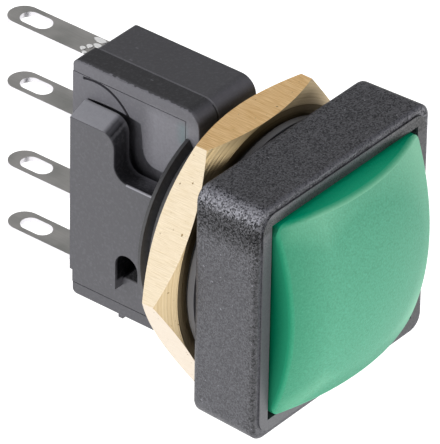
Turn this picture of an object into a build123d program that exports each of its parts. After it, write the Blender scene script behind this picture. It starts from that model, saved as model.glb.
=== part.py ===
"""Panel-mount momentary pushbutton: square bezel, domed cap, threaded barrel, nut and contact block.

Millimetres. +Y is the push direction, +Z is up, +X is to the right as seen from the front.
The origin is on the push axis, in the plane where the collar meets the panel.
Every y value below is measured from that plane: negative is in front of the panel.
"""
from build123d import *
import os
from math import radians, tan

os.makedirs("parts", exist_ok=True)

# Bezel
bezel_side = 18.7
bezel_draft = 0.12
bezel_corner = 1.2
bezel_depth = 5.6
bezel_back_edge = 0.5
bezel_floor = 0.8
rim_inset = 0.55
rim_wall = 0.88
rim_step = 0.12
rim_edge = 0.3

# Button cap and its travel
travel = 2.5
cap_gap = 0.15
cap_corner = 0.9
cap_shoulder_draft = 6.0
cap_dome_radius = 22.0
cap_rise = 2.98
cap_skirt = 2.1
cap_wall = 1.0
cap_edge = 0.45
cap_boss_radius = 3.0
cap_rib = 0.9
stop_gap = 0.2

# Threaded barrel, with the collar in front of the panel and the neck that takes the bezel
collar_radius = 9.15
collar_depth = 0.6
collar_edge = 0.12
neck_radius = 7.5
neck_length = 1.0
neck_lip = 0.1
thread_radius = 8.0
thread_pitch = 1.0
thread_depth = 0.5
thread_crest = 0.3
barrel_length = 5.3
barrel_bore = 6.6
barrel_edge = 0.05
web_front = 2.6
web_thickness = 1.0
slide_gap = 0.1

# Gasket, nut and retaining ring
gasket_thickness = 0.25
gasket_width = 0.85
nut_wall = 1.79
nut_thickness = 2.7
nut_chamfer = 30.0
nut_turn = 1.0
nut_gap = 0.03
ring_thickness = 0.5
ring_seat = 0.3
ring_recess = 0.1
ring_opening = 30.0

# Plunger and return spring
plunger_radius = 5.9
plunger_wall = 0.7
plunger_head = 1.0
plunger_flange = 0.7
stub_radius = 1.8
stub_length = 1.4
stem_radius = 1.1
return_wire = 0.3
return_turns = 5
spring_gap = 0.3

# Contact block
block_front = 4.2
block_length = 11.15
block_height = 19.35
block_width = 6.2
block_shift = 0.25
block_wall = 1.0
block_corner = 1.3
block_back_corner = 0.4
block_edge = 0.08
seam_shift = -1.0
seam_edge = 0.12
right_shell_inset = 0.25
stem_hole_gap = 0.3
fit_gap = 0.05
peg_radius = 0.3
boss_radius = 0.6
peg_inset = 0.4
peg_length = 1.6
rib_thickness = 0.6
rib_reach = 1.4

# Side cover with its raised plate
cover_thickness = 0.9
cover_backing = 0.55
cover_front_inset = 1.15
cover_edge_inset = 0.9
plate_height = 1.65
plate_rear_inset = 1.15
plate_top = 6.9
plate_slope = 0.65
plate_step = 2.8
plate_nose = 10.3
plate_bottom = -6.3
plate_edge = 0.08
plate_crest = 1.15
plate_heel = 1.15
tongue_front = 3.8
tongue_bottom = -4.0
channel_depth = 0.75
channel_width = 1.0
channel_end_inset = 0.2
groove_width = 0.22
groove_depth = 0.2
crest_gap = 0.25
pocket_width = 2.0
pocket_centre = 9.1
pocket_top = -3.1
pip_size = 0.7
pip_proud = 0.15
pip_heights = (0.1, -5.7)
foot_length = 0.4
foot_width = 0.3
foot_drop = 0.3
foot_centre = 11.0

# Solder terminals, from the top one down
top_lug_inset = 1.325
top_lug_pitch = 5.42
bottom_lug_inset = 0.795
bottom_lug_pitch = 5.18
tab_directions = (-1, 1, -1, 1)
lug_width = 2.4
lug_thickness = 0.4
lug_reach = 8.52
lug_shift = 0.62
slot_length = 2.6
slot_width = 1.5
slot_inset = 1.0
tab_backing = 0.85
tab_height = 1.9
bend_radius = 0.35

# Contacts, bridges and carrier
contact_radius = 0.5
contact_height = 0.4
shank_radius = 0.35
upset_height = 0.15
contact_inset = 0.6
closing_gap = 0.1
bridge_thickness = 0.3
bridge_width = 2.0
bridge_margin = 0.55
post_radius = 0.45
clip_radius = 0.85
clip_thickness = 0.3
carrier_bar = 1.2
carrier_end = 0.9
carrier_gap = 0.3
hub_height = 3.4
hub_length = 3.5
hub_bore = 1.15
contact_wire = 0.13
contact_turns = 3
carrier_wire = 0.15
carrier_turns = 7

# Places that follow from the sizes
bezel_rear = -collar_depth
bezel_front = bezel_rear - bezel_depth
rim_half = bezel_side / 2 - rim_inset
opening_half = rim_half - rim_wall
floor_front = bezel_rear - bezel_floor
neck_front = bezel_rear - neck_length
cap_half = opening_half - cap_gap
cap_peak = bezel_front - cap_rise
cap_rear = neck_front - travel - stop_gap
block_left = block_shift - block_width / 2
block_right = block_shift + block_width / 2
block_rear = block_front + block_length
right_rear = block_rear - right_shell_inset
seam = block_shift + seam_shift
inner_front = block_front + block_wall
inner_rear = block_rear - block_wall
inner_half = block_height / 2 - block_wall
inner_right = block_right - block_wall
inner_left = block_left + cover_thickness + cover_backing
plate_face = block_left - plate_height
plate_rear = block_rear - plate_rear_inset
block_middle = (block_front + block_rear) / 2
ring_rear = neck_front + ring_recess + ring_thickness
carrier_front = inner_front + carrier_gap
tab_face = inner_rear - tab_backing
contact_face = tab_face - contact_height
bridge_rear = contact_face - closing_gap - travel - contact_height
bridge_front = bridge_rear - bridge_thickness
plunger_front = cap_rear - plunger_head - carrier_gap
lug_tip = block_rear + lug_reach
rib_offset = hub_height / 2 + slide_gap + rib_thickness / 2
terminal_heights = (
    block_height / 2 - top_lug_inset,
    block_height / 2 - top_lug_inset - top_lug_pitch,
    bottom_lug_inset + bottom_lug_pitch - block_height / 2,
    bottom_lug_inset - block_height / 2,
)
cover_pegs = ((inner_front + cover_front_inset, 0.0), (plate_rear - cover_front_inset, 0.0))


def facing_front(y):
    """Plane across the push axis, seen from the front: its normal is -Y."""
    return Plane(origin=(0, y, 0), x_dir=(1, 0, 0), z_dir=(0, -1, 0))


def facing_back(y):
    """Plane across the push axis, seen from behind: its normal is +Y."""
    return Plane(origin=(0, y, 0), x_dir=(-1, 0, 0), z_dir=(0, 1, 0))


def save(part, name):
    """Labels one finished piece and writes it."""
    part.label = name
    export_step(part, f"parts/{name}.step")


def coil(radius, wire, turns, start, end, x=0.0, z=0.0):
    """Round-wire compression spring along the push axis, from start to end."""
    height = end - start - 2 * wire
    with BuildPart() as spring:
        with BuildLine() as centreline:
            Helix(height / turns, height, radius, center=(x, start + wire, z), direction=(0, 1, 0))
        with BuildSketch(Plane(origin=centreline.line @ 0, z_dir=centreline.line % 0)):
            Circle(wire)
        sweep(is_frenet=True)
    return spring.part


# Bezel: square frame, open in front, with a smooth raised rim and a floor that clips onto the neck
with BuildPart() as bezel:
    with BuildSketch(facing_front(bezel_rear)):
        rear_side = bezel_side - 2 * bezel_draft
        RectangleRounded(rear_side, rear_side, bezel_corner)
    with BuildSketch(facing_front(bezel_front + rim_step)):
        RectangleRounded(bezel_side, bezel_side, bezel_corner)
    loft()
    fillet(bezel.faces().sort_by(Axis.Y)[-1].edges(), bezel_back_edge)
    fillet(bezel.faces().sort_by(Axis.Y)[0].edges(), rim_edge)
    with BuildSketch(facing_front(bezel_front + rim_step)):
        RectangleRounded(2 * rim_half, 2 * rim_half, bezel_corner)
    extrude(amount=rim_step)
    with BuildSketch(facing_back(bezel_front)):
        Rectangle(2 * opening_half, 2 * opening_half)
    extrude(amount=floor_front - bezel_front, mode=Mode.SUBTRACT)
    with BuildSketch(facing_back(floor_front)):
        Circle(neck_radius + fit_gap)
    extrude(amount=bezel_floor, mode=Mode.SUBTRACT)
save(bezel.part, "bezel")

# Barrel: collar in front of the panel, neck with a lip that the bezel snaps over, thread outside,
# plunger bore inside, web for the return spring, and a cross slot in the rear end that takes
# the nose of the contact block
web_rear = web_front + web_thickness
with BuildPart() as threaded_barrel:
    with BuildSketch(facing_back(bezel_rear)):
        Circle(collar_radius)
    extrude(amount=collar_depth)
    fillet(threaded_barrel.faces().sort_by(Axis.Y)[-1].edges(), collar_edge)
    with BuildSketch(facing_back(neck_front)):
        Circle(neck_radius)
    extrude(amount=neck_length)
    with BuildSketch(facing_back(neck_front)):
        Circle(neck_radius + neck_lip)
    extrude(amount=neck_length - bezel_floor - fit_gap)
    with BuildSketch(facing_back(0)):
        Circle(thread_radius)
    extrude(amount=barrel_length)
    chamfer(threaded_barrel.faces().sort_by(Axis.Y)[-1].edges(), barrel_edge)
    groove_half = (thread_pitch - thread_crest) / 2
    for turn in range(int((barrel_length - thread_crest - gasket_thickness) / thread_pitch)):
        groove_y = barrel_length - thread_crest - groove_half - turn * thread_pitch
        with BuildSketch(Plane.XY):
            with BuildLine():
                Polyline(
                    (thread_radius - thread_depth, groove_y),
                    (thread_radius, groove_y - groove_half),
                    (thread_radius + thread_depth, groove_y - groove_half),
                    (thread_radius + thread_depth, groove_y + groove_half),
                    (thread_radius, groove_y + groove_half),
                    close=True,
                )
            make_face()
        revolve(axis=Axis.Y, mode=Mode.SUBTRACT)
    with BuildSketch(facing_back(neck_front)):
        Circle(barrel_bore)
    extrude(amount=web_front - neck_front, mode=Mode.SUBTRACT)
    with BuildSketch(facing_back(neck_front)):
        Circle(barrel_bore + ring_seat)
    extrude(amount=ring_rear - neck_front, mode=Mode.SUBTRACT)
    with BuildSketch(facing_back(web_front)):
        Circle(stem_radius + slide_gap)
    extrude(amount=web_thickness, mode=Mode.SUBTRACT)
    with BuildSketch(facing_back(web_rear)):
        Circle(barrel_bore)
    extrude(amount=barrel_length - web_rear, mode=Mode.SUBTRACT)
    with BuildSketch(facing_back(block_front - fit_gap)):
        with Locations((-block_shift, 0)):
            Rectangle(block_width + 2 * fit_gap, 2 * collar_radius)
    extrude(amount=barrel_length - block_front + fit_gap, mode=Mode.SUBTRACT)
save(threaded_barrel.part, "threaded_barrel")

# Rubber gasket that seals the panel, squeezed between the collar and the nut
with BuildPart() as panel_gasket:
    with BuildSketch(facing_back(0)):
        Circle(thread_radius + nut_gap + gasket_width)
        Circle(thread_radius + nut_gap, mode=Mode.SUBTRACT)
    extrude(amount=gasket_thickness)
save(panel_gasket.part, "panel_gasket")

# Brass nut: hexagon turned down at both faces, so that each flat ends in a curve
nut_front = gasket_thickness
nut_rear = nut_front + nut_thickness
nut_flats = 2 * (thread_radius + nut_gap + nut_wall)
corner_radius = nut_flats / 3 ** 0.5
turned_depth = (corner_radius - nut_flats / 2) * tan(radians(nut_chamfer))
with BuildPart() as hex_nut:
    with BuildSketch(facing_front(nut_rear)):
        RegularPolygon(corner_radius, 6, rotation=nut_turn)
        Circle(thread_radius + nut_gap, mode=Mode.SUBTRACT)
    extrude(amount=nut_thickness)
    with BuildSketch(Plane.XY):
        with BuildLine():
            Polyline(
                (0, nut_front),
                (nut_flats / 2, nut_front),
                (corner_radius, nut_front + turned_depth),
                (corner_radius, nut_rear - turned_depth),
                (nut_flats / 2, nut_rear),
                (0, nut_rear),
                close=True,
            )
        make_face()
    revolve(axis=Axis.Y, mode=Mode.INTERSECT)
save(hex_nut.part, "hex_nut")

# Split ring, sprung into the mouth of the barrel, that keeps the plunger in
ring_front = ring_rear - ring_thickness
with BuildPart() as retaining_ring:
    with BuildSketch(facing_back(ring_front)):
        Circle(barrel_bore + ring_seat)
        Circle(plunger_radius + slide_gap, mode=Mode.SUBTRACT)
        with BuildLine():
            Polyline(
                (0, 0),
                (2 * barrel_bore, -2 * barrel_bore * tan(radians(ring_opening / 2))),
                (2 * barrel_bore, 2 * barrel_bore * tan(radians(ring_opening / 2))),
                close=True,
            )
        make_face(mode=Mode.SUBTRACT)
    extrude(amount=ring_thickness)
save(retaining_ring.part, "retaining_ring")

# Plunger: disc and sleeve in one, with a flange that stops against the ring and a stem to the rear
plunger_stop = ring_rear + plunger_flange
with BuildPart() as plunger:
    with BuildSketch(facing_back(plunger_front)):
        Circle(plunger_radius)
    extrude(amount=plunger_stop - plunger_front)
    with BuildSketch(facing_back(ring_rear)):
        Circle(barrel_bore - slide_gap)
    extrude(amount=plunger_flange)
    with BuildSketch(facing_back(plunger_front + plunger_head)):
        Circle(plunger_radius - plunger_wall)
    extrude(amount=plunger_stop - plunger_front - plunger_head, mode=Mode.SUBTRACT)
    with BuildSketch(facing_back(plunger_front)):
        Circle(stem_radius)
    extrude(amount=carrier_front - plunger_front)
    with BuildSketch(facing_front(plunger_front)):
        Circle(stub_radius)
    extrude(amount=stub_length)
    chamfer(plunger.faces().sort_by(Axis.Y)[0].edges(), rim_step)
save(plunger.part, "plunger")

# Return spring, between the plunger's disc and the web of the barrel
return_spring = coil(
    plunger_radius - plunger_wall - spring_gap - return_wire,
    return_wire,
    return_turns,
    plunger_front + plunger_head,
    web_front,
)
save(return_spring, "return_spring")

# Hollow of the cap: the walls and the dome, each set in by the wall
with BuildPart() as cap_hollow:
    with BuildSketch(facing_front(cap_rear)):
        Rectangle(2 * (cap_half - cap_wall), 2 * (cap_half - cap_wall))
    extrude(amount=cap_skirt)
    with BuildSketch(facing_front(cap_rear - cap_skirt)):
        Rectangle(2 * (cap_half - cap_wall), 2 * (cap_half - cap_wall))
    extrude(amount=cap_rise + cap_skirt, taper=cap_shoulder_draft)
    with Locations((0, cap_peak + cap_dome_radius, 0)):
        Sphere(cap_dome_radius - cap_wall, mode=Mode.INTERSECT)
    with BuildSketch(facing_front(plunger_front)):
        Circle(cap_boss_radius)
        Rectangle(2 * cap_half, cap_rib)
        Rectangle(cap_rib, 2 * cap_half)
        Circle(stub_radius + fit_gap, mode=Mode.SUBTRACT)
    extrude(amount=plunger_front - cap_peak, mode=Mode.SUBTRACT)

# Cap: square skirt, sloped shoulders and a spherical front, with a boss and ribs inside
with BuildPart() as button_cap:
    with BuildSketch(facing_front(cap_rear)):
        RectangleRounded(2 * cap_half, 2 * cap_half, cap_corner)
    extrude(amount=cap_skirt)
    with BuildSketch(facing_front(cap_rear - cap_skirt)):
        RectangleRounded(2 * cap_half, 2 * cap_half, cap_corner)
    extrude(amount=cap_rise + cap_skirt, taper=cap_shoulder_draft)
    with Locations((0, cap_peak + cap_dome_radius, 0)):
        Sphere(cap_dome_radius, mode=Mode.INTERSECT)
    fillet(button_cap.faces().sort_by(Axis.Y)[0].edges(), cap_edge)
    add(cap_hollow.part, mode=Mode.SUBTRACT)
save(button_cap.part, "button_cap")

# Right half of the contact block: a tray, open at the seam, that holds the terminals
inner_middle = (inner_front + inner_rear) / 2
inner_length = inner_rear - inner_front
lug_right = lug_shift + lug_width / 2
lug_slot = lug_thickness + 2 * fit_gap
lug_middle = (tab_face + block_rear) / 2
peg_y = inner_front + peg_inset
peg_z = inner_half - peg_inset
bridge_centres = (
    (terminal_heights[0] + terminal_heights[1]) / 2,
    (terminal_heights[2] + terminal_heights[3]) / 2,
)
hub_centre = (terminal_heights[1] + terminal_heights[2]) / 2
hub_x = (inner_left + inner_right) / 2
rib_front = carrier_front + carrier_bar + travel + carrier_gap
rib_rear = tab_face - spring_gap
with BuildPart() as block_right_shell:
    with BuildSketch(Plane.YZ.offset(seam)):
        with Locations(((block_front + right_rear) / 2, 0)):
            Rectangle(right_rear - block_front, block_height)
        fillet(vertices().group_by(Axis.X)[0], block_corner)
        fillet(vertices().group_by(Axis.X)[-1], block_back_corner)
    extrude(amount=block_right - seam)
    fillet(block_right_shell.faces().sort_by(Axis.X)[-1].edges(), block_edge)
    chamfer(block_right_shell.faces().sort_by(Axis.X)[0].edges(), seam_edge)
    with BuildSketch(Plane.YZ.offset(seam)):
        with Locations((inner_middle, 0)):
            Rectangle(inner_length, 2 * inner_half)
    extrude(amount=inner_right - seam, mode=Mode.SUBTRACT)
    with BuildSketch(Plane.YZ.offset(seam)):
        with Locations((lug_middle, terminal_heights[0]), (lug_middle, terminal_heights[3])):
            Rectangle(block_rear - tab_face, lug_slot)
        with Locations((lug_middle, terminal_heights[1]), (lug_middle, terminal_heights[2])):
            Rectangle(block_rear - tab_face, lug_slot)
        with Locations((tab_face + lug_thickness / 2, (terminal_heights[0] + terminal_heights[3]) / 2)):
            Rectangle(lug_slot, terminal_heights[0] - terminal_heights[3] + lug_slot)
    extrude(amount=lug_right + fit_gap - seam, mode=Mode.SUBTRACT)
    with BuildSketch(facing_back(block_front)):
        Circle(stem_radius + stem_hole_gap)
    extrude(amount=block_wall, mode=Mode.SUBTRACT)
    with BuildSketch(Plane.YZ.offset(seam)):
        with Locations((peg_y, peg_z), (peg_y, -peg_z)):
            Circle(boss_radius)
    extrude(amount=inner_right - seam)
    with BuildSketch(Plane.YZ.offset(seam)):
        with Locations((peg_y, peg_z), (peg_y, -peg_z)):
            Circle(peg_radius + fit_gap)
    extrude(amount=peg_length + fit_gap, mode=Mode.SUBTRACT)
    with BuildSketch(Plane.YZ.offset(inner_right)):
        with Locations(*[((rib_front + rib_rear) / 2, hub_centre + side * rib_offset) for side in (-1, 1)]):
            Rectangle(rib_rear - rib_front, rib_thickness)
    extrude(amount=-rib_reach)
save(block_right_shell.part, "block_right_shell")

# Left half of the contact block: closes the tray and is recessed outside for the side cover
recess_front = block_front + cover_front_inset
recess_half = block_height / 2 - cover_edge_inset
with BuildPart() as block_left_shell:
    with BuildSketch(Plane.YZ.offset(block_left)):
        with Locations((block_middle, 0)):
            Rectangle(block_length, block_height)
        fillet(vertices().group_by(Axis.X)[0], block_corner)
        fillet(vertices().group_by(Axis.X)[-1], block_back_corner)
    extrude(amount=seam - block_left)
    fillet(block_left_shell.faces().sort_by(Axis.X)[0].edges(), block_edge)
    with BuildSketch(Plane.YZ.offset(seam)):
        with Locations((inner_middle, 0)):
            Rectangle(inner_length, 2 * inner_half)
    extrude(amount=inner_left - seam, mode=Mode.SUBTRACT)
    with BuildSketch(Plane.YZ.offset(block_left)):
        with Locations(((recess_front + block_rear) / 2, 0)):
            Rectangle(block_rear - recess_front, 2 * recess_half)
    extrude(amount=cover_thickness, mode=Mode.SUBTRACT)
    with BuildSketch(facing_back(block_front)):
        Circle(stem_radius + stem_hole_gap)
    extrude(amount=block_wall, mode=Mode.SUBTRACT)
    with BuildSketch(Plane.YZ.offset(block_left + cover_thickness)):
        with Locations((peg_y, peg_z), (peg_y, -peg_z)):
            Circle(peg_radius)
    extrude(amount=seam + peg_length - block_left - cover_thickness)
    with BuildSketch(Plane.YZ.offset(block_left + block_edge)):
        with Locations((foot_centre, -block_height / 2)):
            Rectangle(foot_length, 2 * foot_drop)
    extrude(amount=foot_width)
    with BuildSketch(Plane.YZ.offset(block_left)):
        with Locations(*cover_pegs):
            Circle(peg_radius + fit_gap)
    extrude(amount=cover_thickness + cover_backing, mode=Mode.SUBTRACT)
save(block_left_shell.part, "block_left_shell")

# Side cover: a flush panel that carries a thick raised plate with a stepped, rounded outline;
# a deep channel follows the step, and the plate's tongue runs forward into the barrel
panel_top = recess_half - fit_gap
step_y = plate_nose - channel_width
channel_end = plate_rear - channel_end_inset
with BuildPart() as side_cover:
    with BuildSketch(Plane.YZ.offset(block_left)):
        with BuildLine():
            Polyline(
                (recess_front + fit_gap, -panel_top),
                (recess_front + fit_gap, panel_top),
                (block_rear, panel_top),
                (block_rear, -panel_top),
                close=True,
            )
        make_face()
    extrude(amount=cover_thickness - fit_gap)
    with BuildSketch(Plane.YZ.offset(block_left)) as channel_sketch:
        with BuildLine():
            rise = Line((channel_end, plate_top - channel_width), (channel_end, plate_top + crest_gap / 2))
            crest = Spline(
                rise @ 1,
                (plate_nose + 2 * channel_width, plate_top + crest_gap),
                (step_y, plate_top),
            )
            fall = Line(crest @ 1, (step_y - crest_gap, plate_step + channel_width + plate_heel))
            heel = RadiusArc(fall @ 1, (fall @ 1) - Vector(plate_heel, plate_heel), plate_heel)
            run = Line(heel @ 1, (recess_front + fit_gap, plate_step + channel_width))
            Polyline(
                run @ 1,
                (recess_front + fit_gap, plate_step - channel_width),
                (plate_nose, plate_step - channel_width),
                (plate_nose + channel_width, plate_top - channel_width),
                rise @ 0,
            )
        make_face()
    extrude(amount=channel_depth, mode=Mode.SUBTRACT)
    with BuildSketch(Plane.YZ.offset(block_left)):
        with BuildLine() as groove:
            Spline(
                (block_rear - cover_edge_inset, panel_top - groove_width),
                (plate_nose + 2 * channel_width, panel_top - crest_gap),
                (step_y + channel_width, plate_top),
            )
        trace(groove.line, groove_width)
    extrude(amount=groove_depth, mode=Mode.SUBTRACT)
    for level, height in ((block_left, plate_top), (plate_face, plate_top - plate_slope)):
        with BuildSketch(Plane.YZ.offset(level)):
            with BuildLine():
                back = Line((plate_rear, plate_bottom), (plate_rear, height))
                top = Line(back @ 1, (plate_nose + plate_crest, height))
                nose = RadiusArc(top @ 1, (plate_nose, height - plate_crest), -plate_crest)
                drop = Line(nose @ 1, (plate_nose, plate_step + plate_heel))
                foot = RadiusArc(drop @ 1, (plate_nose - plate_heel, plate_step), plate_heel)
                Polyline(
                    foot @ 1,
                    (tongue_front, plate_step),
                    (tongue_front, tongue_bottom),
                    (barrel_length + spring_gap, tongue_bottom),
                    (barrel_length + spring_gap + plate_crest, plate_bottom),
                    back @ 0,
                )
            make_face()
    loft(ruled=True)
    plate_rim = side_cover.faces().sort_by(Axis.X)[0].edges()
    fillet(plate_rim.filter_by(lambda edge: edge.center().Z > plate_step - plate_edge), plate_edge)
    with BuildSketch(Plane.YZ.offset(plate_face)):
        with Locations((pocket_centre, pocket_top - pocket_width / 2)):
            Circle(pocket_width / 2)
        with Locations((pocket_centre, (pocket_top - pocket_width / 2 + plate_bottom) / 2)):
            Rectangle(pocket_width, pocket_top - pocket_width / 2 - plate_bottom)
    extrude(amount=plate_height + cover_thickness / 2, mode=Mode.SUBTRACT)
    with BuildSketch(Plane.YZ.offset(block_left + cover_thickness / 2)):
        with BuildLine():
            Polyline(
                (pocket_centre - pocket_width / 2, pocket_top - pocket_width / 4),
                (pocket_centre, (pocket_top + plate_bottom) / 2),
                (pocket_centre + pocket_width / 2, plate_bottom + channel_width / 2),
                (pocket_centre + pocket_width / 2, plate_bottom),
                (pocket_centre - pocket_width / 2, plate_bottom),
                close=True,
            )
        make_face()
    extrude(amount=-(plate_height / 2 + cover_thickness / 2))
    with BuildSketch(facing_back(plate_rear)):
        with Locations(*[(-(block_left + plate_face) / 2, height) for height in pip_heights]):
            Rectangle(plate_height / 2, pip_size)
    extrude(amount=pip_proud)
    with BuildSketch(Plane.YZ.offset(block_left)):
        with Locations(*cover_pegs):
            Circle(peg_radius)
    extrude(amount=cover_thickness + cover_backing - fit_gap)
save(side_cover.part, "side_cover")

# Terminals: flat lugs with round ends and slots, entering through the rear wall,
# each bent up or down inside into a tab that carries a fixed contact
terminal_names = (
    "top_outer_terminal",
    "top_inner_terminal",
    "bottom_inner_terminal",
    "bottom_outer_terminal",
)
contact_heights = []
for name, height, direction in zip(terminal_names, terminal_heights, tab_directions):
    tab_end = height + direction * (tab_height - lug_thickness / 2)
    contact_z = tab_end - direction * contact_inset
    contact_heights.append(contact_z)
    with BuildPart() as terminal:
        with BuildSketch(Plane.XY.offset(height - lug_thickness / 2)):
            with Locations((lug_shift, (tab_face + lug_tip - lug_width / 2) / 2)):
                Rectangle(lug_width, lug_tip - lug_width / 2 - tab_face)
            with Locations((lug_shift, lug_tip - lug_width / 2)):
                Circle(lug_width / 2)
            with Locations((lug_shift, lug_tip - slot_inset - slot_length / 2)):
                SlotOverall(slot_length, slot_width, rotation=90, mode=Mode.SUBTRACT)
        extrude(amount=lug_thickness)
        with BuildSketch(facing_back(tab_face)):
            with Locations((-lug_shift, (height - direction * lug_thickness / 2 + tab_end) / 2)):
                Rectangle(lug_width, tab_height)
            with Locations((-lug_shift, contact_z)):
                Circle(shank_radius, mode=Mode.SUBTRACT)
        extrude(amount=lug_thickness)
        outside = terminal.edges().filter_by(Axis.X).filter_by(
            lambda edge: abs(edge.center().Y - tab_face) < fit_gap
            and abs(edge.center().Z - height + direction * lug_thickness / 2) < fit_gap
        )
        fillet(outside, bend_radius)
    save(terminal.part, name)


def riveted_contacts(places, face_y, sheet_y, head):
    """Round contacts riveted through a sheet: head on one side, shank, upset end on the other."""
    thickness = abs(sheet_y - face_y)
    side = 1 if sheet_y > face_y else -1
    with BuildPart() as contacts:
        for z in places:
            with BuildSketch(Plane.XY.offset(z)):
                with BuildLine():
                    Polyline(
                        (lug_shift, face_y - side * head),
                        (lug_shift + contact_radius, face_y - side * head),
                        (lug_shift + contact_radius, face_y),
                        (lug_shift + shank_radius, face_y),
                        (lug_shift + shank_radius, face_y + side * thickness),
                        (lug_shift + contact_radius, face_y + side * thickness),
                        (lug_shift + shank_radius, face_y + side * (thickness + upset_height)),
                        (lug_shift, face_y + side * (thickness + upset_height)),
                        close=True,
                    )
                make_face()
            revolve(axis=Axis((lug_shift, 0, z), (0, 1, 0)))
    return contacts.part


fixed_contacts = riveted_contacts(contact_heights, tab_face, tab_face + lug_thickness, contact_height)
save(fixed_contacts, "fixed_contacts")
moving_contacts = riveted_contacts(contact_heights, bridge_rear, bridge_front, contact_height)
save(moving_contacts, "moving_contacts")

# Contact bridges: sprung bars that join a pair of fixed contacts when the button is pressed
for name, centre, ends in (
    ("top_bridge", bridge_centres[0], contact_heights[:2]),
    ("bottom_bridge", bridge_centres[1], contact_heights[2:]),
):
    with BuildPart() as bridge:
        with BuildSketch(facing_back(bridge_front)):
            with Locations((-lug_shift, centre)):
                Rectangle(bridge_width, abs(ends[0] - ends[1]) + 2 * bridge_margin)
                Circle(post_radius + slide_gap, mode=Mode.SUBTRACT)
            with Locations(*[(-lug_shift, end) for end in ends]):
                Circle(shank_radius, mode=Mode.SUBTRACT)
        extrude(amount=bridge_thickness)
    save(bridge.part, name)

# Carrier: crossbar pushed by the plunger's stem, posts for the bridges, hub for its own spring
carrier_rear = carrier_front + carrier_bar
carrier_left = inner_left + carrier_gap
carrier_right = inner_right - carrier_gap
bar_top = bridge_centres[0] + carrier_end
bar_bottom = bridge_centres[1] - carrier_end
with BuildPart() as contact_carrier:
    with BuildSketch(Plane.YZ.offset(carrier_left)):
        with Locations((carrier_front + carrier_bar / 2, (bar_top + bar_bottom) / 2)):
            Rectangle(carrier_bar, bar_top - bar_bottom)
        with Locations((carrier_rear + hub_length / 2, hub_centre)):
            Rectangle(hub_length, hub_height)
    extrude(amount=carrier_right - carrier_left)
    with BuildSketch(facing_back(carrier_rear)):
        with Locations((-hub_x, hub_centre)):
            Circle(hub_bore)
    extrude(amount=hub_length, mode=Mode.SUBTRACT)
    with BuildSketch(facing_back(carrier_rear)):
        with Locations(*[(-lug_shift, centre) for centre in bridge_centres]):
            Circle(post_radius)
    extrude(amount=bridge_rear + clip_thickness + groove_width - carrier_rear)
save(contact_carrier.part, "contact_carrier")

# Push-on clips that hold the bridges on their posts
with BuildPart() as bridge_clips:
    with BuildSketch(facing_back(bridge_rear)):
        with Locations(*[(-lug_shift, centre) for centre in bridge_centres]):
            Circle(clip_radius)
            Circle(post_radius, mode=Mode.SUBTRACT)
    extrude(amount=clip_thickness)
save(bridge_clips.part, "bridge_clips")

# Springs of the contact block
contact_coil = post_radius + slide_gap + 1.5 * contact_wire
for name, centre in zip(("top_contact_spring", "bottom_contact_spring"), bridge_centres):
    contact_spring = coil(
        contact_coil, contact_wire, contact_turns, carrier_rear, bridge_front, lug_shift, centre
    )
    save(contact_spring, name)
carrier_spring = coil(
    hub_bore - slide_gap - 2 * carrier_wire,
    carrier_wire,
    carrier_turns,
    carrier_rear,
    inner_rear,
    hub_x,
    hub_centre,
)
save(carrier_spring, "carrier_spring")
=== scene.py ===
"""Panel-mount momentary pushbutton with a green cap, dressed over its solids and lit as photographed."""

import bmesh
import bpy
from mathutils import Matrix, Vector


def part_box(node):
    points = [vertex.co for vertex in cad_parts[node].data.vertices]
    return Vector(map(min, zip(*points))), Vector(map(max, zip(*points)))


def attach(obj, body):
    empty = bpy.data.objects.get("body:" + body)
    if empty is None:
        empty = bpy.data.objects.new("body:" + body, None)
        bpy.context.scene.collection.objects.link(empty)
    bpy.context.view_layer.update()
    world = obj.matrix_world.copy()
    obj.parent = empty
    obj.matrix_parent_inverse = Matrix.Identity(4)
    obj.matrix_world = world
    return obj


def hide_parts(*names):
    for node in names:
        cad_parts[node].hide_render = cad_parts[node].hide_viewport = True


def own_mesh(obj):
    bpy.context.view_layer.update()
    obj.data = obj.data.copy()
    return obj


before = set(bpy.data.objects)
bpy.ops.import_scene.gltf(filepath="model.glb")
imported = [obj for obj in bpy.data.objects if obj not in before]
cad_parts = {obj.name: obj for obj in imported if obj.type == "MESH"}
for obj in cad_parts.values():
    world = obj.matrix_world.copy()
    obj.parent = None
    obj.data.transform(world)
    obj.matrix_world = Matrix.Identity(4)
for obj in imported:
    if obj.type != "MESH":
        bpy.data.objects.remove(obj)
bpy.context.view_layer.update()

# Threaded barrel, with its collar and neck.
# Glass-filled nylon, injection moulded black: smooth to the touch, with a faint mottle where the
# fibres come near the surface. The collar seats on the panel, the nut runs on the thread.


def linear(hex_colour):
    """Linear RGBA of an sRGB hex colour."""
    parts = [int(hex_colour[i:i + 2], 16) / 255 for i in (1, 3, 5)]
    return [c / 12.92 if c <= 0.04045 else ((c + 0.055) / 1.055) ** 2.4 for c in parts] + [1.0]


def add(material, kind, settings=None, sockets=None, links=None):
    """Adds one node: settings are its own options, sockets its input values, links its incoming wires."""
    node = material.node_tree.nodes.new(kind)
    for name, value in (settings or {}).items():
        setattr(node, name, value)
    for name, value in (sockets or {}).items():
        node.inputs[name].default_value = value
    for name, source in (links or {}).items():
        material.node_tree.links.new(source, node.inputs[name])
    return node


def new_surface(name, **values):
    """A material with one shader, whose constant values are set on the shader's own sockets."""
    material = bpy.data.materials.new(name)
    material.use_nodes = True
    shader = material.node_tree.nodes["Principled BSDF"]
    for socket, value in values.items():
        shader.inputs[socket.replace("_", " ")].default_value = value
    return material, shader


def wire(material, shader, **sources):
    """Joins outputs to the sockets of the shader that they are named for."""
    for socket, source in sources.items():
        material.node_tree.links.new(source, shader.inputs[socket.replace("_", " ")])


def finish_nodes(material, *nodes):
    """Gives solids that keep their own shape their real surface."""
    for name in nodes:
        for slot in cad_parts[name].material_slots:
            slot.material = material


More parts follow.
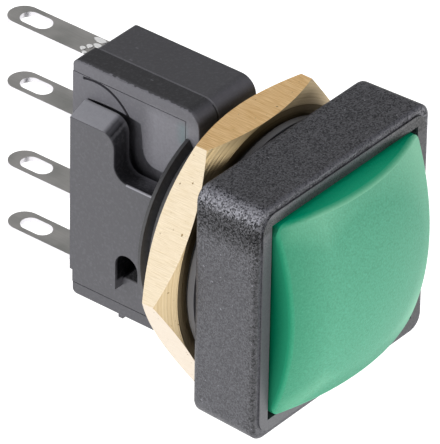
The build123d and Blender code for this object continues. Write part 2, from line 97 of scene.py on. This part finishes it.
def within(material, source, soft, inside=None, **limits):
    """1 where each named part of a vector lies between its limits, fading over twice soft, times a mask inside."""
    parts = add(material, "ShaderNodeSeparateXYZ", None, None, {"Vector": source})
    for axis, (low, high) in limits.items():
        half = (high - low) / 2
        offset = add(material, "ShaderNodeMath", {"operation": "SUBTRACT"}, {1: low + half}, {0: parts.outputs[axis]})
        reach = add(material, "ShaderNodeMath", {"operation": "ABSOLUTE"}, None, {0: offset.outputs["Value"]})
        mask = add(
            material, "ShaderNodeMapRange", None,
            {"From Min": half - soft, "From Max": half + soft, "To Min": 1.0, "To Max": 0.0},
            {"Value": reach.outputs["Value"]},
        )
        if inside is not None:
            mask = add(
                material, "ShaderNodeMath", {"operation": "MULTIPLY"}, None,
                {0: inside, 1: mask.outputs["Result"]},
            )
        inside = mask.outputs[0]
    return inside


def total(material, start, terms):
    """Sum of a start value and of outputs, each times its own weight."""
    level = None
    for output, weight in terms:
        term = add(
            material, "ShaderNodeMath", {"operation": "MULTIPLY_ADD"},
            {1: weight, 2: start if level is None else 0.0}, {0: output},
        )
        if level is not None:
            material.node_tree.links.new(level, term.inputs[2])
        level = term.outputs["Value"]
    return level


def coats(material, ground, *layers):
    """Lays colours over a ground, each by its own mask. A colour is a hex value or a node's output."""
    # The colour sockets of a Mix node share their names with its others, so they go by number.
    first, second, mixed = 6, 7, 2
    for mask, coat in layers:
        mix = add(material, "ShaderNodeMix", {"data_type": "RGBA"}, None, {"Factor": mask})
        for socket, colour in ((first, ground), (second, coat)):
            if isinstance(colour, str):
                mix.inputs[socket].default_value = linear(colour)
            else:
                material.node_tree.links.new(colour, mix.inputs[socket])
        ground = mix.outputs[mixed]
    return ground


barrel_nylon, shader = new_surface("Moulded glass-filled nylon, black", Roughness=0.42, IOR=1.53)
place = add(barrel_nylon, "ShaderNodeTexCoord").outputs["Object"]
# Fibre mottle, 0.25 mm across.
mottle = add(barrel_nylon, "ShaderNodeTexNoise", None, {"Scale": 4000.0, "Detail": 3.0}, {"Vector": place})
mottle = mottle.outputs["Fac"]
# Outer limit, in metres, of a mask that is open on one side: past every surface of the switch.
FAR = 0.03
# The collar is paler than the thread.
collar = within(barrel_nylon, place, 0.00005, Y=(-FAR, 0.0))
pale_patch = total(barrel_nylon, 0.0, [(collar, 0.55)])
relief = add(barrel_nylon, "ShaderNodeBump", None, {"Strength": 0.5, "Distance": 0.00002}, {"Height": mottle})
wire(
    barrel_nylon, shader, Normal=relief.outputs["Normal"],
    Base_Color=coats(barrel_nylon, "#252527", (mottle, "#444448"), (pale_patch, "#626266")),
)
finish_nodes(barrel_nylon, "threaded_barrel")

# Panel gasket.
# A thin ring of black nitrile rubber, cut from sheet and slipped over the thread. Its bloom lies in
# patches 0.4 mm across.


def mottled(name, scale, dark, light, gloss=None, **values):
    """A plain surface: one noise moves its tone between two colours, and its roughness over the range gloss."""
    material, shader = new_surface(name, **values)
    place = add(material, "ShaderNodeTexCoord").outputs["Object"]
    noise = add(material, "ShaderNodeTexNoise", None, {"Scale": scale, "Detail": 2.0}, {"Vector": place})
    noise = noise.outputs["Fac"]
    wire(material, shader, Base_Color=coats(material, dark, (noise, light)))
    if gloss is not None:
        smooth, rough = gloss
        varied = add(material, "ShaderNodeMapRange", None, {"To Min": smooth, "To Max": rough}, {"Value": noise})
        wire(material, shader, Roughness=varied.outputs["Result"])
    return material


gasket_rubber = mottled("Cut nitrile rubber", 2500.0, "#101011", "#1F1F21", Roughness=0.8, IOR=1.52)
finish_nodes(gasket_rubber, "panel_gasket")

# Hexagon nut.
# Free-cutting brass, parted off drawn bar: die lines run along the flats, and the chamfers carry
# the fine rings of the tool. It is unplated, with small pits; the shade on its chamfer is painted.
nut_brass, shader = new_surface("Drawn and turned brass", Metallic=1.0)
coordinates = add(nut_brass, "ShaderNodeTexCoord").outputs
place = coordinates["Object"]
# Die lines, over a millimetre long and 0.07 mm apart, a pixel of the photograph: finer ones wouldn't show.
drawn = add(nut_brass, "ShaderNodeMapping", None, {"Scale": (14000.0, 900.0, 14000.0)}, {"Vector": place})
lines = add(nut_brass, "ShaderNodeTexNoise", None, {"Scale": 1.0, "Detail": 3.0}, {"Vector": drawn.outputs["Vector"]})
# Turning rings, 0.15 mm apart, by distance from the push axis.
parts = add(nut_brass, "ShaderNodeSeparateXYZ", None, None, {"Vector": place}).outputs
across = add(nut_brass, "ShaderNodeCombineXYZ", None, None, {"X": parts["X"], "Z": parts["Z"]})
radius = add(nut_brass, "ShaderNodeVectorMath", {"operation": "LENGTH"}, None, {0: across.outputs["Vector"]})
radius = radius.outputs["Value"]
rings = add(
    nut_brass, "ShaderNodeTexNoise", {"noise_dimensions": "1D"}, {"Scale": 6500.0, "Detail": 3.0}, {"W": radius}
)
# The chamfers are the faces that turn towards the push axis.
facing = add(nut_brass, "ShaderNodeSeparateXYZ", None, None, {"Vector": coordinates["Normal"]}).outputs
slope = add(nut_brass, "ShaderNodeMath", {"operation": "ABSOLUTE"}, None, {0: facing["Y"]})
turned = add(nut_brass, "ShaderNodeMath", {"operation": "GREATER_THAN"}, {1: 0.3}, {0: slope.outputs["Value"]})
turned = turned.outputs["Value"]
marks = add(
    nut_brass, "ShaderNodeMix", {"data_type": "FLOAT"}, None,
    {"Factor": turned, "A": lines.outputs["Fac"], "B": rings.outputs["Fac"]},
)
marks = marks.outputs["Result"]
# Pits, 0.12 mm across and well apart, are the peaks of a coarser noise.
grain = add(nut_brass, "ShaderNodeTexNoise", None, {"Scale": 4200.0, "Detail": 0.0}, {"Vector": place})
# Each row says where its mask is 0 and where it is 1. The flats turned upwards keep the skin's tone;
# the others are painted paler, a painted reflection of the lights, most of all those that face down.
# Inner is what the collar shades.
ramps = {}
for name, source, none, full in (
    ("streaks", marks, 0.25, 0.75), ("pits", grain.outputs["Fac"], 0.81, 0.87), ("pale", facing["Z"], 0.87, 0.5),
    ("under", facing["Z"], 0.3, -0.45), ("inner", radius, 0.0101, 0.0095),
):
    ramp = add(nut_brass, "ShaderNodeMapRange", None, {"From Min": none, "From Max": full}, {"Value": source})
    ramps[name] = ramp.outputs["Result"]
# Painted shade on the chamfer, darkest where the collar shades it and on the upper left.
upper_left = within(nut_brass, place, 0.0015, X=(-FAR, 0.0005), Z=(0.0035, FAR))
shade = total(nut_brass, 0.0, [(ramps["inner"], 0.3), (upper_left, 0.4)])
chamfer_shade = add(nut_brass, "ShaderNodeMath", {"operation": "MULTIPLY"}, None, {0: turned, 1: shade})
skin = coats(nut_brass, "#CFA162", (ramps["streaks"], "#FFDDA8"))
# Painted reflection: the flats facing the lights, and most those facing down, are painted paler.
reflected_glare = coats(nut_brass, "#B3A48A", (ramps["streaks"], "#D3C6B0"), (ramps["under"], "#D9CBB8"))
# The turned chamfers are a fuller gold than the flats.
cut_gold = coats(nut_brass, "#AE9670", (marks, "#DDCAA6"))
gloss = add(
    nut_brass, "ShaderNodeMapRange", None, {"From Min": 0.3, "From Max": 0.7, "To Min": 0.28, "To Max": 0.44},
    {"Value": marks},
)
height = add(nut_brass, "ShaderNodeMath", {"operation": "SUBTRACT"}, None, {0: marks, 1: ramps["pits"]})
relief = add(
    nut_brass, "ShaderNodeBump", None, {"Strength": 0.6, "Distance": 0.00003}, {"Height": height.outputs["Value"]}
)
wire(
    nut_brass, shader, Roughness=gloss.outputs["Result"], Normal=relief.outputs["Normal"],
    Base_Color=coats(
        nut_brass, skin,
        (ramps["pale"], reflected_glare), (turned, cut_gold), (ramps["pits"], "#8C754E"),
        (chamfer_shade.outputs["Value"], "#75602F"),
    ),
)
finish_nodes(nut_brass, "hex_nut")

# Bezel.
# ABS, injection moulded black in one piece. The tool was spark eroded outside, which leaves a fine
# even grain, and ground at the rim, which comes out smooth. It snaps over the neck of the barrel.
bezel_abs, shader = new_surface("Spark-eroded ABS, black", IOR=1.54)
coordinates = add(bezel_abs, "ShaderNodeTexCoord").outputs
place, normal = coordinates["Object"], coordinates["Normal"]
low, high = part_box("bezel")
left, front, top = low[0], low[1], high[2]
# Erosion craters, each with its own depth and so its own tone, 0.1 mm across, which is as fine as shows.
craters = add(bezel_abs, "ShaderNodeTexVoronoi", None, {"Scale": 10500.0}, {"Vector": place})
chances = add(bezel_abs, "ShaderNodeSeparateColor", None, None, {"Color": craters.outputs["Color"]}).outputs
crater = chances["Red"]
# One crater in 250 holds a pale speck of dust.
dust = add(bezel_abs, "ShaderNodeMath", {"operation": "GREATER_THAN"}, {1: 1 - 1 / 250}, {0: chances["Green"]})
# The rim's front face is the only place within 0.05 mm of the bezel's front.
rim = within(bezel_abs, place, 0.00001, Y=(-FAR, front + 0.00005))
# Along the upper left the craters' tones swing wider, as painted glints where the grain catches the light.
glinting_upper = within(bezel_abs, place, 0.0035, Z=(0.0068, FAR))
# Outer limit of a mask on a normal that is open on one side: past 1 by more than the widest fade.
STEEP = 1.6
level_top = within(bezel_abs, normal, 0.1, Z=(0.8, STEEP))
# The product of two parts of the normal is far from 0 only on the rounded edge between two faces.
faces = add(bezel_abs, "ShaderNodeSeparateXYZ", None, None, {"Vector": normal}).outputs
edges = []
for one, other, none, full in (("X", "Z", -0.02, -0.45), ("X", "Y", 0.02, 0.40), ("Y", "Z", -0.02, -0.40)):
    product = add(bezel_abs, "ShaderNodeMath", {"operation": "MULTIPLY"}, None, {0: faces[one], 1: faces[other]})
    edge = add(
        bezel_abs, "ShaderNodeMapRange", None, {"From Min": none, "From Max": full},
        {"Value": product.outputs["Value"]},
    )
    edges.append(edge.outputs["Result"])
# Painted light on the rounded edges: the left top corner is painted lighter, a painted highlight, the left front edge
# darker, painted shade, and the front's upper edge lighter, a painted highlight.
lit_corner, shaded_left_edge, lit_top_edge = edges
# The corner's painted highlight, with its coarser grain, also runs 0.4 mm past the rounded corner on both faces.
corner_highlight = within(bezel_abs, place, 0.0005, X=(-FAR, left + 0.00124), Z=(top - 0.00104, FAR))
# Along the left face's front edge, 0.8 mm wide, it is painted darker, as painted shade, and coarser.
shaded_front_band = within(bezel_abs, place, 0.0003, X=(-FAR, left + 0.00024), Y=(-FAR, front + 0.0008))
# Under the bright corner a band is painted dark, a painted dark reflection.
dark_reflection = within(bezel_abs, place, 0.0009, X=(-FAR, left + 0.00134), Z=(top - 0.00294, top - 0.00124))
# Reach is how far the craters' tones lie apart, swing each crater's own step from the middle tone.
reach = total(
    bezel_abs, 0.40,
    [(glinting_upper, 0.7), (lit_corner, 0.3), (corner_highlight, 0.15), (shaded_front_band, 0.15), (level_top, -0.35)],
)
spread = total(bezel_abs, -0.5, [(crater, 1.0)])
swing = add(bezel_abs, "ShaderNodeMath", {"operation": "MULTIPLY"}, None, {0: spread, 1: reach}).outputs["Value"]
level = total(
    bezel_abs, 0.52,
    [
        (swing, 1.0), (dark_reflection, -0.44), (lit_corner, 0.22), (corner_highlight, 0.12), (shaded_front_band, -0.14),
        (shaded_left_edge, -0.16), (lit_top_edge, 0.35),
    ],
)
# Painted highlights on the corner and on the grain's glints, with pale specks of dust.
highlights_and_dust = total(
    bezel_abs, -0.25, [(lit_corner, 0.42), (corner_highlight, 0.18), (swing, 0.45), (dust.outputs["Value"], 0.50)]
)
# The rim is darker along the upper side of the opening and over its right half.
above = within(bezel_abs, place, 0.00015, Z=(0.0075, 0.0085))
right_half = within(bezel_abs, place, 0.0020, X=(0.0050, FAR))
rim_darker = total(bezel_abs, 0.0, [(above, 0.7), (right_half, 0.7)])
rim_tone = coats(bezel_abs, "#58585C", (rim_darker, "#1E1E20"))
eroded = total(bezel_abs, 1.0, [(rim, -1.0)])
height = add(bezel_abs, "ShaderNodeMath", {"operation": "MULTIPLY"}, None, {0: crater, 1: eroded})
relief = add(
    bezel_abs, "ShaderNodeBump", None, {"Strength": 0.5, "Distance": 0.00003}, {"Height": height.outputs["Value"]}
)
wire(
    bezel_abs, shader, Normal=relief.outputs["Normal"],
    Base_Color=coats(bezel_abs, "#141416", (level, "#606067"), (highlights_and_dust, "#B4B4BE"), (rim, rim_tone)),
    Roughness=total(bezel_abs, 0.46, [(rim, -0.12), (swing, -0.2)]),
    Specular_IOR_Level=total(bezel_abs, 0.45, [(swing, 0.5), (dark_reflection, -0.25), (level_top, -0.2)]),
)
finish_nodes(bezel_abs, "bezel")

# Retaining ring, return spring and the other springs and clips.
# Spring steel, drawn as wire or blanked as strip, bright with fine draw marks 0.1 mm apart.
spring_steel = mottled("Bright spring steel", 9000.0, "#8F8F91", "#B8B8BA", gloss=(0.25, 0.4), Metallic=1.0)
finish_nodes(
    spring_steel, "retaining_ring", "return_spring", "carrier_spring", "top_contact_spring",
    "bottom_contact_spring", "bridge_clips",
)
# The return spring and the carrier's spring are rebuilt as smooth wire in place of their solids, and ride on the
# body.
for node in ("return_spring", "carrier_spring"):
    low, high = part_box(node)
    wire_coil = bmesh.new()
    wire_coil.from_mesh(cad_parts[node].data)
    # A solid's mesh is loose triangles, so corners within half a micrometre are one.
    bmesh.ops.remove_doubles(wire_coil, verts=wire_coil.verts, dist=0.0000005)
    wound = bpy.data.meshes.new(node + "_wire")
    wire_coil.to_mesh(wound)
    wire_coil.free()
    for facet in wound.polygons:
        facet.use_smooth = True
        facet.material_index = 0
    wound.materials.clear()
    wound.materials.append(spring_steel)
    coil = bpy.data.objects.new(node + "_wire", wound)
    bpy.context.scene.collection.objects.link(coil)
    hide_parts(node)
    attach(coil, "body")
    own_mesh(coil)

# Plunger and contact carrier.
# Acetal, injection moulded in its natural off-white, slippery and slightly waxy, clouded in patches
# about a millimetre across.
natural_acetal = mottled("Moulded acetal, natural", 900.0, "#C8C4B8", "#DAD7CD", Roughness=0.45, IOR=1.48)
finish_nodes(natural_acetal, "plunger", "contact_carrier")

# Button cap.
# ABS coloured green right through, moulded in a tool blasted with fine grit, so its domed face
# scatters the light as a bright haze while the steep shoulders keep the deep colour.
cap_abs, shader = new_surface("Fine-blasted ABS, green", IOR=1.54)
coordinates = add(cap_abs, "ShaderNodeTexCoord").outputs
place, normal = coordinates["Object"], coordinates["Normal"]
# Blast grain, 0.14 mm across, coarser than real grit leaves so that it shows.
grain = add(cap_abs, "ShaderNodeTexNoise", None, {"Scale": 7000.0, "Detail": 2.0}, {"Vector": place})
grain = grain.outputs["Fac"]
# 1 on the domed face, 0 on the polished shoulders, whose green is painted brighter than the face's against the shade
# they stand in.
face = within(cap_abs, normal, 0.40, Y=(-STEEP, -0.54))
# Along the left and lower edges the face is painted darker, as painted shade, fading in over some three millimetres.
by_left = within(cap_abs, place, 0.0018, X=(-FAR, -0.0060))
by_foot = within(cap_abs, place, 0.0012, Z=(-FAR, -0.0072))
shaded_edges = add(cap_abs, "ShaderNodeMath", {"operation": "MAXIMUM"}, None, {0: by_left, 1: by_foot}).outputs["Value"]
# The round between face and shoulders, which is the face less the dome, carries a pale painted highlight.
dome = within(cap_abs, normal, 0.03, Y=(-STEEP, -0.93))
pale_highlights = total(cap_abs, 0.0, [(face, 0.5), (dome, -0.5), (shaded_edges, -0.5)])
# The nearest 1.2 mm of the left shoulder to the dome is painted lighter, a painted highlight.
dome_radius = 0.022
dome_centre = (0.0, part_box("button_cap")[0][1] + dome_radius, 0.0)
depth = add(cap_abs, "ShaderNodeVectorMath", {"operation": "DISTANCE"}, {1: dome_centre}, {0: place})
shoulder_highlight = add(
    cap_abs, "ShaderNodeMapRange", None, {"From Min": dome_radius - 0.0012, "From Max": dome_radius + 0.0002},
    {"Value": depth.outputs["Value"]},
)
# The left shoulder is painted dark, as painted shade.
left_side = within(cap_abs, normal, 0.2, X=(-STEEP, -0.6))
shaded_left_shoulder = coats(cap_abs, "#045A40", (shoulder_highlight.outputs["Result"], "#2A8A68"))
blasted = coats(cap_abs, "#187E59", (grain, "#53B290"), (total(cap_abs, 0.0, [(shaded_edges, 0.55)]), "#0A7A56"))
relief = add(cap_abs, "ShaderNodeBump", None, {"Strength": 0.8, "Distance": 0.00004}, {"Height": grain})
wire(
    cap_abs, shader, Normal=relief.outputs["Normal"],
    Base_Color=coats(cap_abs, "#00B688", (left_side, shaded_left_shoulder), (face, blasted), (pale_highlights, "#9ADDB8")),
    Roughness=total(cap_abs, 0.35, [(face, 0.2)]),
    Specular_IOR_Level=total(cap_abs, 0.12, [(face, 0.5), (shaded_edges, -0.3)]),
)
finish_nodes(cap_abs, "button_cap")

# Contact block: two shells and a side cover.
# Glass-filled polyester, moulded dark grey. The shells meet at a seam and the cover's plate is
# satin, with pale patches painted as highlights and a few specks of dust.
block_polyester, shader = new_surface("Moulded polyester, dark grey", IOR=1.55)
coordinates = add(block_polyester, "ShaderNodeTexCoord").outputs
place, normal = coordinates["Object"], coordinates["Normal"]
low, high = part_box("block_left_shell")
left_face, top = low[0], high[2]
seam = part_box("block_right_shell")[0][0]
plate_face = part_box("side_cover")[0][0]
# Flow mottle 1 mm across, a fine grain 0.2 mm across, torn edges 0.3 mm across, and a noise 0.3 mm
# across whose peaks are sparse specks of dust, 0.2 mm wide.
noises = []
for scale, detail in ((1000.0, 3.0), (5000.0, 2.0), (3200.0, 3.0), (3400.0, 0.0)):
    noise = add(block_polyester, "ShaderNodeTexNoise", None, {"Scale": scale, "Detail": detail}, {"Vector": place})
    noises.append(noise.outputs["Fac"])
flow, grain, torn, dust = noises
specks = add(block_polyester, "ShaderNodeMapRange", None, {"From Min": 0.86, "From Max": 0.90}, {"Value": dust})
# The top is all that faces up and lies more than 9 mm above the push axis.
up = within(block_polyester, normal, 0.1, Z=(0.75, STEEP))
near_top = 0.009
# The left shell's top came out of the tool darker than the right one's.
left_top = within(block_polyester, place, 0.00003, up, X=(left_face, seam), Z=(near_top, FAR))
# Flash along the left shell's upper edge, 0.12 mm wide and up to 0.25 mm where it is torn, painted pale as a painted
# highlight where it catches the light.
tear = 0.00035
shift = add(
    block_polyester, "ShaderNodeCombineXYZ", None, None, {"X": total(block_polyester, -tear, [(torn, 2 * tear)])}
)
ragged = add(
    block_polyester, "ShaderNodeVectorMath", {"operation": "ADD"}, None, {0: place, 1: shift.outputs["Vector"]}
)
flash = within(
    block_polyester, ragged.outputs["Vector"], 0.00002, up, X=(-FAR, left_face + 0.00012), Z=(near_top, FAR)
)
# The seam's edge carries a pale line, a painted highlight.
seam_highlight = within(block_polyester, place, 0.00002, X=(seam - 0.00003, seam + 0.00012), Z=(top - 0.0016, FAR))
# Below the rounded edge the seam is open, and dark.
slit = within(
    block_polyester, place, 0.00003, X=(seam - 0.00012, seam + 0.00002), Y=(-FAR, 0.0049), Z=(0.0050, 0.0094)
)
# The cover's flat part above the plate is painted paler, as painted light, more so ahead of the plate's nose,
# and so is the block's rounded front.
lit_cover = within(block_polyester, place, 0.0001, X=(left_face - 0.0003, left_face + 0.0003), Z=(0.0, FAR))
lit_strip = within(
    block_polyester, place, 0.0005,
    X=(left_face - 0.0010, left_face + 0.0010), Y=(-FAR, 0.0086), Z=(0.0, 0.0086),
)
rounded = within(block_polyester, normal, 0.15, Y=(-0.9, -0.3), Z=(0.3, 0.95))
lit_front_round = within(block_polyester, place, 0.0002, rounded, Y=(-FAR, 0.008))
# The plate's sloped top carries a pale painted highlight behind a painted shadow band at its nose.
sloped = within(block_polyester, normal, 0.1, X=(-0.6, -0.15), Z=(0.6, STEEP))
pale_patch = within(block_polyester, place, 0.0002, sloped, X=(-FAR, left_face), Z=(0.0055, 0.008))
nose_shadow = within(block_polyester, place, 0.0002, sloped, X=(-FAR, left_face), Y=(0.0105, 0.0112))
# Walls of the plate's step, painted darker as painted shade.
upright = within(block_polyester, normal, 0.1, X=(-0.5, 0.5))
shaded_walls = within(
    block_polyester, place, 0.0001, upright,
    X=(plate_face + 0.0001, left_face - 0.0001), Y=(0.004, 0.0108), Z=(0.0, 0.0068),
)
# Painted shade in the pocket.
pocket_shade = within(
    block_polyester, place, 0.0001,
    X=(plate_face + 0.0002, left_face + 0.001), Y=(0.0080, 0.0102), Z=(-0.0056, -0.003),
)
# A painted highlight line along the lower step's outer edge.
edge_highlight = within(
    block_polyester, place, 0.00003, X=(-FAR, plate_face + 0.0001), Y=(0.004, 0.0092), Z=(0.00268, 0.0029)
)
# A painted highlight stands as a sliver in the channel.
channel_highlight = within(
    block_polyester, place, 0.00004,
    X=(left_face - 0.0004, left_face + 0.001), Y=(0.00962, 0.00976), Z=(0.0043, 0.0051),
)
# Three larger specks of dust on the top, 0.12 mm wide and 0.24 mm long.
stuck = []
for x, y in ((0.00103, 0.01288), (-0.00041, 0.01222), (-0.00143, 0.00952)):
    speck = within(
        block_polyester, place, 0.00004,
        X=(x - 0.00006, x + 0.00006), Y=(y - 0.00012, y + 0.00012), Z=(near_top, FAR),
    )
    stuck.append((speck, 0.45))
level = total(
    block_polyester, 0.32,
    [
        (flow, 0.10), (grain, 0.06), (left_top, -0.22), (flash, 0.75), (seam_highlight, 0.26), (slit, -0.7),
        (lit_cover, 0.24), (lit_strip, 0.24), (lit_front_round, 0.50), (shaded_walls, -0.22), (pocket_shade, -0.45), (edge_highlight, 0.6),
        (channel_highlight, 0.6), (specks.outputs["Result"], 0.4), *stuck,
    ],
)
# Flux has left a green tint by the cover's front line.
tint = within(
    block_polyester, place, 0.0003, X=(-FAR, left_face + 0.0001), Y=(0.0053, 0.0060), Z=(0.0068, 0.0084)
)
stained = total(block_polyester, 0.0, [(tint, 0.8)])
# The pale coat: painted highlights, less the painted shadow at the plate's nose, with some of the grain.
pale_highlights = total(
    block_polyester, -0.1,
    [
        (pale_patch, 0.75), (nose_shadow, -0.8), (lit_strip, 0.10), (edge_highlight, 0.6), (seam_highlight, 0.12), (flash, 0.25),
        (grain, 0.2),
    ],
)
relief = add(block_polyester, "ShaderNodeBump", None, {"Strength": 0.4, "Distance": 0.00002}, {"Height": grain})
wire(
    block_polyester, shader, Normal=relief.outputs["Normal"],
    Base_Color=coats(block_polyester, "#0C0C0E", (level, "#706F77"), (stained, "#45696C"), (pale_highlights, "#B4B4BC")),
    Roughness=total(block_polyester, 0.44, [(flow, 0.12)]),
    Specular_IOR_Level=total(block_polyester, 0.5, [(shaded_walls, -0.4), (pocket_shade, -0.45), (up, -0.18), (left_top, -0.1)]),
)
finish_nodes(block_polyester, "block_right_shell", "block_left_shell", "side_cover")

# Solder terminals and contact bridges.
# Brass strip, blanked and plated with matt tin, grey with a soft sheen and faint rolling lines. The
# cut edges and the slots' walls are bare metal, painted near-white as a painted highlight.
matt_tin, shader = new_surface("Matt tin plate on brass", Metallic=1.0)
coordinates = add(matt_tin, "ShaderNodeTexCoord").outputs
place = coordinates["Object"]
# Rolling lines, 0.17 mm apart and 2 mm long.
rolled = add(matt_tin, "ShaderNodeMapping", None, {"Scale": (6000.0, 500.0, 6000.0)}, {"Vector": place})
lines = add(matt_tin, "ShaderNodeTexNoise", None, {"Scale": 1.0, "Detail": 3.0}, {"Vector": rolled.outputs["Vector"]})
lines = lines.outputs["Fac"]
# Flux haze, in clouds 3 mm across.
clouds = add(matt_tin, "ShaderNodeTexNoise", None, {"Scale": 350.0, "Detail": 2.0}, {"Vector": place})
haze = add(
    matt_tin, "ShaderNodeMapRange", None, {"From Min": 0.42, "From Max": 0.68, "To Max": 0.45},
    {"Value": clouds.outputs["Fac"]},
)
# Painted highlight: the cut edges are painted near-white.
cut_edge_glare = within(matt_tin, coordinates["Normal"], 0.1, Z=(-0.5, 0.5))
gloss = add(matt_tin, "ShaderNodeMapRange", None, {"To Min": 0.36, "To Max": 0.5}, {"Value": lines})
wire(
    matt_tin, shader, Roughness=gloss.outputs["Result"],
    Base_Color=coats(
        matt_tin, "#999795", (lines, "#B2B0AE"), (haze.outputs["Result"], "#6C706C"), (cut_edge_glare, "#E2E0E4")
    ),
)
finish_nodes(
    matt_tin, "top_outer_terminal", "top_inner_terminal", "bottom_inner_terminal", "bottom_outer_terminal",
    "top_bridge", "bottom_bridge",
)

# Solder splashes on the uppermost lug.
# Tin-lead solder, spattered from a joint and frozen in place beside the block as flat bright drops,
# with a frost 0.25 mm across. Their near-white colour is painted, a painted highlight for their glints.
solder = mottled("Bright solder with painted glints", 4000.0, "#FAFAFA", "#FFFFFF", gloss=(0.36, 0.50), Metallic=1.0)
lug_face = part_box("top_outer_terminal")[1][2]
# Each drop is a flat ball, sunk to its middle in the lug and levelled just above it.
half_height, level_height = 0.00012, 0.00004
spatter = bmesh.new()
# Across and along the lug, then half the width and half the length of each drop.
for x, y, width, length in (
    (0.00150, 0.01654, 0.000260, 0.000576), (0.00085, 0.01625, 0.000234, 0.000360),
    (0.00045, 0.01663, 0.000234, 0.000264), (-0.00002, 0.01685, 0.000208, 0.000240),
    (-0.00038, 0.01642, 0.000169, 0.000216),
):
    drop = bmesh.ops.create_uvsphere(spatter, u_segments=20, v_segments=10, radius=1.0)["verts"]
    bmesh.ops.scale(spatter, vec=(width, length, half_height), verts=drop)
    for point in drop:
        point.co.z = min(point.co.z, level_height)
    bmesh.ops.translate(spatter, vec=(x, y, lug_face), verts=drop)
drops = bpy.data.meshes.new("solder_splashes")
spatter.to_mesh(drops)
spatter.free()
drops.materials.append(solder)
for facet in drops.polygons:
    facet.use_smooth = True
splashes = bpy.data.objects.new("solder_splashes", drops)
bpy.context.scene.collection.objects.link(splashes)
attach(splashes, "body")

# Fixed and moving contacts.
# Fine silver rivets, headed cold, with a soft white metal surface that tarnishes in patches 0.3 mm
# across.
contact_silver = mottled("Cold-headed silver", 3000.0, "#BDBBB5", "#DDDCD8", Metallic=1.0, Roughness=0.3)
finish_nodes(contact_silver, "fixed_contacts", "moving_contacts")

# Studio.
# A plain white floor well below the switch, which is held by its panel in use, soft lights, and
# the camera where the photograph was taken from, with a long lens.
bpy.ops.mesh.primitive_plane_add(size=6.0, location=(0.0, 0.0, -0.08))
floor = bpy.context.object
floor.name = "studio_floor"
floor_paper, shader = new_surface("Back-lit white studio sheet", Roughness=0.9, Emission_Strength=0.95)
shader.inputs["Base Color"].default_value = linear("#E0E0E0")
shader.inputs["Emission Color"].default_value = linear("#FFFFFF")
floor.data.materials.append(floor_paper)

world = bpy.data.worlds.new("studio_world")
world.use_nodes = True
world.node_tree.nodes["Background"].inputs["Color"].default_value = linear("#FFFFFF")
world.node_tree.nodes["Background"].inputs["Strength"].default_value = 0.14
bpy.context.scene.world = world

# Name, place, width in metres and power in watts of each light, all turned towards the switch.
for name, spot, size, power in (
    ("left_softbox", (-0.55, 0.16, 0.20), 0.6, 2.2),
    ("front_softbox", (-0.10, -0.70, 0.15), 0.6, 3.0),
    ("back_softbox", (0.42, 0.34, 0.36), 0.6, 0.72),
    ("overhead_softbox", (-0.10, 0.31, 0.51), 0.3, 0.3),
):
    lamp = bpy.data.lights.new(name, "AREA")
    lamp.shape = "SQUARE"
    lamp.size = size
    lamp.energy = power
    holder = bpy.data.objects.new(name, lamp)
    holder.matrix_world = Matrix.Translation(spot) @ Vector(spot).to_track_quat("Z", "Y").to_matrix().to_4x4()
    bpy.context.scene.collection.objects.link(holder)

camera = bpy.data.cameras.new("photo_camera")
camera.sensor_fit = "HORIZONTAL"
camera.sensor_width = 36.0
camera.lens = 532.69
camera.clip_start = 0.05
camera.clip_end = 20.0
viewer = bpy.data.objects.new("photo_camera", camera)
# Its place, and the directions that run right and up in the picture, as solved from the photograph.
stand = (-0.289757, -0.225768, 0.249466)
rightward = Vector((0.63036, -0.776145, 0.015662))
upward = Vector((0.426335, 0.362975, 0.828545))
aim = Matrix((rightward, upward, rightward.cross(upward))).transposed().to_4x4()
viewer.matrix_world = Matrix.Translation(stand) @ aim
bpy.context.scene.collection.objects.link(viewer)
bpy.context.scene.camera = viewer
bpy.context.scene.view_settings.view_transform = "Standard"
